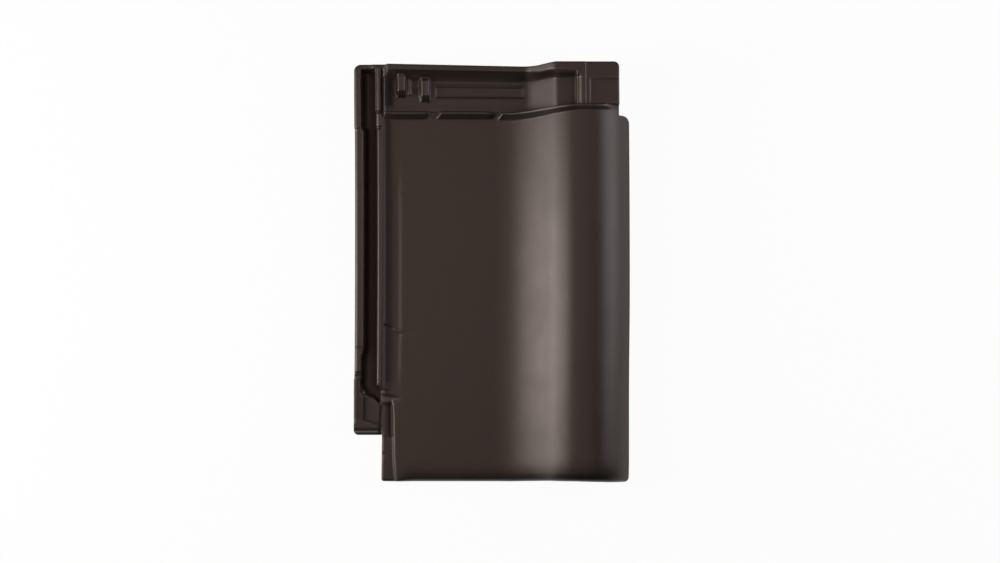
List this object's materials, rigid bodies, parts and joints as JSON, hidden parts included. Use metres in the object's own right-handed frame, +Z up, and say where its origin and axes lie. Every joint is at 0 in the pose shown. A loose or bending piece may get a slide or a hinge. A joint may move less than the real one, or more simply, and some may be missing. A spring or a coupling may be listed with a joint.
{
  "type": "clay roof tile",
  "caption": "Interlocking fired-clay roof tile with a flat pan, one rounded cover roll, a side lock, a head trough and hanging nibs.",
  "frame": {"origin": "middle of the bounding box at floor level, with the tile lying on its nibs and foot rib", "axes": "+Y from the foot to the head, +X from the side lock to the roll, +Z up from the weathered face"},
  "size_m": [0.28, 0.4252, 0.0662],
  "materials": {
    "engobed_clay": "satin dark brown engobe"
  },
  "bodies": {
    "root": {"roof_tile": "engobed_clay"}
  },
  "joints": []
}
